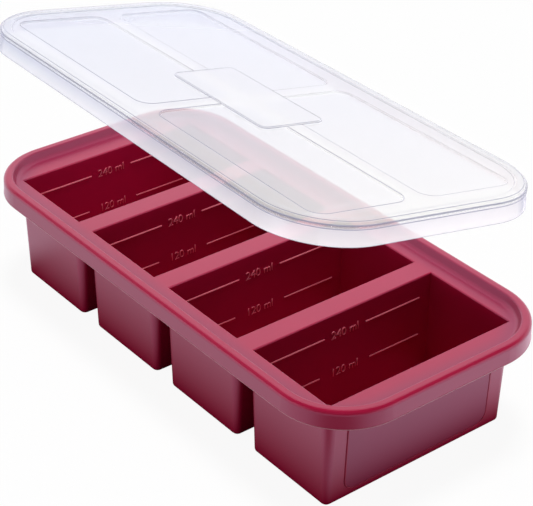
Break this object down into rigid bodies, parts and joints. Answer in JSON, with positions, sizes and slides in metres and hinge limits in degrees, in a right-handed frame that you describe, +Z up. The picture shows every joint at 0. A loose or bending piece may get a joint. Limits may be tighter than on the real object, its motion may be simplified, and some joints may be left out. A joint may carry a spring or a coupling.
{
  "type": "baby food freezer tray",
  "caption": "Flexible moulded tray with a row of deep rectangular wells, a wire-stiffened rim and a clear lid that caps the rim, for freezing portions.",
  "frame": {"origin": "centre of the deck, on top of the middle divider between the wells", "axes": "+Z up out of the wells, +X along the row of wells, +Y across the row"},
  "size_m": [0.3217, 0.1637, 0.1432],
  "materials": {
    "silicone": "satin cranberry silicone",
    "wire": "drawn steel wire",
    "clear_lid": "clear glossy plastic"
  },
  "bodies": {
    "tray": {"tray": "silicone", "rim_wire": "wire"},
    "lid": {"lid": "clear_lid"}
  },
  "joints": [
    {"name": "lid_lift", "type": "hinge", "parent": "tray", "child": "lid", "pos_m": [0, 0.378, -0.05], "axis": [-0.9276, -0.1972, -0.3173], "range_deg": [-10.5, 12]}
  ]
}
